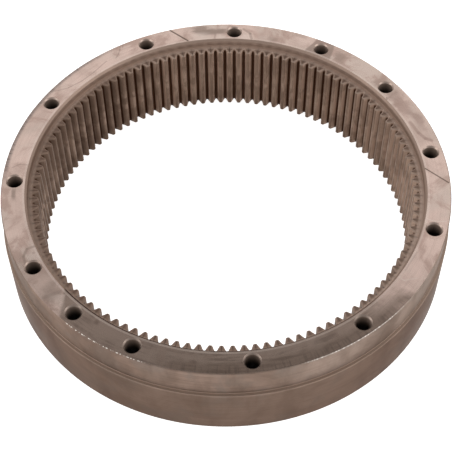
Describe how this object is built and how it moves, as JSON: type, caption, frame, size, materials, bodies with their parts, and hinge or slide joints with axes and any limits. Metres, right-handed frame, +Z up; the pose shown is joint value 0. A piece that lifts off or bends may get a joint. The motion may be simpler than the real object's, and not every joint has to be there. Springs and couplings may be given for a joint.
{
  "type": "internal ring gear",
  "caption": "Wide steel ring with straight internal teeth, a stepped outside and a drilled face, the fixed ring of a planetary gearbox.",
  "frame": {"origin": "centre of the bottom face, on the gear axis", "axes": "+Z up along the gear axis, towards the recessed and drilled face; +X through the bolt hole that has no mirror partner"},
  "size_m": [0.55, 0.55, 0.115],
  "materials": {
    "oiled_steel": "turned, oiled, brown stained"
  },
  "bodies": {
    "root": {"ring_gear": "oiled_steel"}
  },
  "joints": []
}
